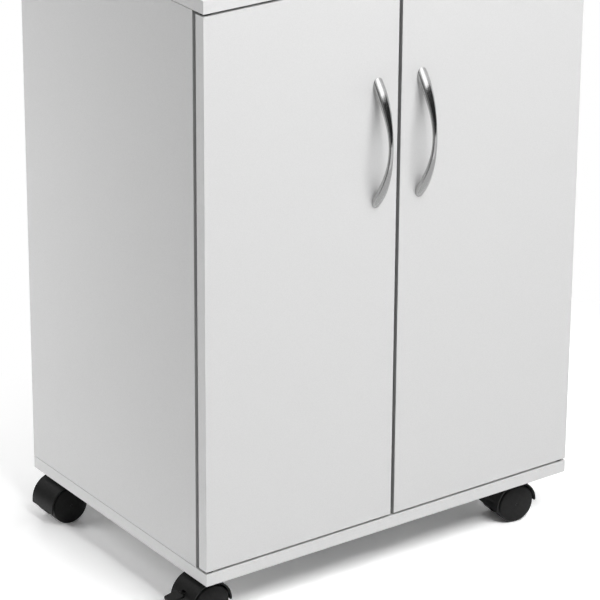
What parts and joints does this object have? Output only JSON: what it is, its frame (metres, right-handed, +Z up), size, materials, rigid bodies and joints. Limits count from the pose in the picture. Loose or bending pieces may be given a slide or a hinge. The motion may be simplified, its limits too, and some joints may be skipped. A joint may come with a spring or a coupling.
{
  "type": "mobile two-door office cabinet",
  "caption": "Light grey board cabinet on twin-wheel casters, with overlay doors, bow handles and an adjustable shelf for files.",
  "frame": {"origin": "on the floor, under the middle of the carcass in plan", "axes": "+Z up, the doors face -Y, +X to the right of someone who faces the doors"},
  "size_m": [0.5846, 0.425, 0.79],
  "materials": {
    "grey_board": "light grey melamine coating on chipboard, satin, with matching edge strips",
    "back_board": "thin light grey lacquered fibreboard",
    "satin_chrome": "satin chrome plating",
    "zinc_steel": "zinc-plated steel",
    "white_plastic": "moulded white plastic",
    "black_plastic": "moulded black plastic, finely textured",
    "wheel_plastic": "hard black wheel plastic, satin"
  },
  "bodies": {
    "carcass": {"base_panel": "grey_board", "top_panel": "grey_board", "left_side_panel": "grey_board", "right_side_panel": "grey_board", "back_panel": "back_board", "shelf": "grey_board", "shelf_pin_front_left": "zinc_steel", "shelf_pin_front_right": "zinc_steel", "shelf_pin_rear_left": "zinc_steel", "shelf_pin_rear_right": "zinc_steel", "magnetic_catch": "white_plastic", "left_door_lower_pivot": "zinc_steel", "left_door_upper_pivot": "zinc_steel", "right_door_lower_pivot": "zinc_steel", "right_door_upper_pivot": "zinc_steel", "front_left_caster_plate": "zinc_steel", "front_right_caster_plate": "zinc_steel", "rear_left_caster_plate": "zinc_steel", "rear_right_caster_plate": "zinc_steel", "front_left_caster_stem": "zinc_steel", "front_right_caster_stem": "zinc_steel", "rear_left_caster_stem": "zinc_steel", "rear_right_caster_stem": "zinc_steel"},
    "left_door": {"left_door": "grey_board", "left_handle": "satin_chrome", "left_strike_plate": "zinc_steel", "left_door_lower_bush": "white_plastic", "left_door_upper_bush": "white_plastic"},
    "right_door": {"right_door": "grey_board", "right_handle": "satin_chrome", "right_strike_plate": "zinc_steel", "right_door_lower_bush": "white_plastic", "right_door_upper_bush": "white_plastic"},
    "front_left_caster": {"front_left_caster_hood": "black_plastic", "front_left_caster_axle": "zinc_steel", "front_left_brake_pin": "zinc_steel"},
    "front_right_caster": {"front_right_caster_hood": "black_plastic", "front_right_caster_axle": "zinc_steel"},
    "rear_left_caster": {"rear_left_caster_hood": "black_plastic", "rear_left_caster_axle": "zinc_steel"},
    "rear_right_caster": {"rear_right_caster_hood": "black_plastic", "rear_right_caster_axle": "zinc_steel", "rear_right_brake_pin": "zinc_steel"},
    "front_left_wheel_front": {"front_left_wheel_front": "wheel_plastic"},
    "front_left_wheel_rear": {"front_left_wheel_rear": "wheel_plastic"},
    "front_right_wheel_front": {"front_right_wheel_front": "wheel_plastic"},
    "front_right_wheel_rear": {"front_right_wheel_rear": "wheel_plastic"},
    "rear_left_wheel_front": {"rear_left_wheel_front": "wheel_plastic"},
    "rear_left_wheel_rear": {"rear_left_wheel_rear": "wheel_plastic"},
    "rear_right_wheel_front": {"rear_right_wheel_front": "wheel_plastic"},
    "rear_right_wheel_rear": {"rear_right_wheel_rear": "wheel_plastic"},
    "front_left_brake": {"front_left_brake_lever": "black_plastic"},
    "rear_right_brake": {"rear_right_brake_lever": "black_plastic"}
  },
  "joints": [
    {"name": "left_door_hinge", "type": "hinge", "parent": "carcass", "child": "left_door", "pos_m": [-0.267, -0.1895, 0.424], "axis": [0, 0, -1], "range_deg": [0, 105]},
    {"name": "right_door_hinge", "type": "hinge", "parent": "carcass", "child": "right_door", "pos_m": [0.267, -0.1895, 0.424], "axis": [0, 0, 1], "range_deg": [0, 105]},
    {"name": "front_left_swivel", "type": "hinge", "parent": "carcass", "child": "front_left_caster", "pos_m": [-0.235, -0.1635, 0.046], "axis": [0, 0, 1], "continuous": true},
    {"name": "front_right_swivel", "type": "hinge", "parent": "carcass", "child": "front_right_caster", "pos_m": [0.235, -0.1635, 0.046], "axis": [0, 0, 1], "continuous": true},
    {"name": "rear_left_swivel", "type": "hinge", "parent": "carcass", "child": "rear_left_caster", "pos_m": [-0.235, 0.1575, 0.046], "axis": [0, 0, 1], "continuous": true},
    {"name": "rear_right_swivel", "type": "hinge", "parent": "carcass", "child": "rear_right_caster", "pos_m": [0.235, 0.1575, 0.046], "axis": [0, 0, 1], "continuous": true},
    {"name": "front_left_front_spin", "type": "hinge", "parent": "front_left_caster", "child": "front_left_wheel_front", "pos_m": [-0.26, -0.1635, 0.025], "axis": [0, 1, 0], "continuous": true},
    {"name": "front_left_rear_spin", "type": "hinge", "parent": "front_left_caster", "child": "front_left_wheel_rear", "pos_m": [-0.26, -0.1635, 0.025], "axis": [0, 1, 0], "continuous": true},
    {"name": "front_right_front_spin", "type": "hinge", "parent": "front_right_caster", "child": "front_right_wheel_front", "pos_m": [0.2101, -0.16132, 0.025], "axis": [0.0872, 0.9962, 0], "continuous": true},
    {"name": "front_right_rear_spin", "type": "hinge", "parent": "front_right_caster", "child": "front_right_wheel_rear", "pos_m": [0.2101, -0.16132, 0.025], "axis": [0.0872, 0.9962, 0], "continuous": true},
    {"name": "rear_left_front_spin", "type": "hinge", "parent": "rear_left_caster", "child": "rear_left_wheel_front", "pos_m": [-0.26, 0.15706, 0.025], "axis": [-0.0175, 0.9998, 0], "continuous": true},
    {"name": "rear_left_rear_spin", "type": "hinge", "parent": "rear_left_caster", "child": "rear_left_wheel_rear", "pos_m": [-0.26, 0.15706, 0.025], "axis": [-0.0175, 0.9998, 0], "continuous": true},
    {"name": "rear_right_front_spin", "type": "hinge", "parent": "rear_right_caster", "child": "rear_right_wheel_front", "pos_m": [0.21006, 0.15924, 0.025], "axis": [0.0698, 0.9976, 0], "continuous": true},
    {"name": "rear_right_rear_spin", "type": "hinge", "parent": "rear_right_caster", "child": "rear_right_wheel_rear", "pos_m": [0.21006, 0.15924, 0.025], "axis": [0.0698, 0.9976, 0], "continuous": true},
    {"name": "front_left_brake_press", "type": "hinge", "parent": "front_left_caster", "child": "front_left_brake", "pos_m": [-0.27722, -0.1635, 0.03303], "axis": [0, 1, 0], "range_deg": [-12, 0]},
    {"name": "rear_right_brake_press", "type": "hinge", "parent": "rear_right_caster", "child": "rear_right_brake", "pos_m": [0.19288, 0.16045, 0.03303], "axis": [0.0698, 0.9976, 0], "range_deg": [-12, 0]}
  ]
}
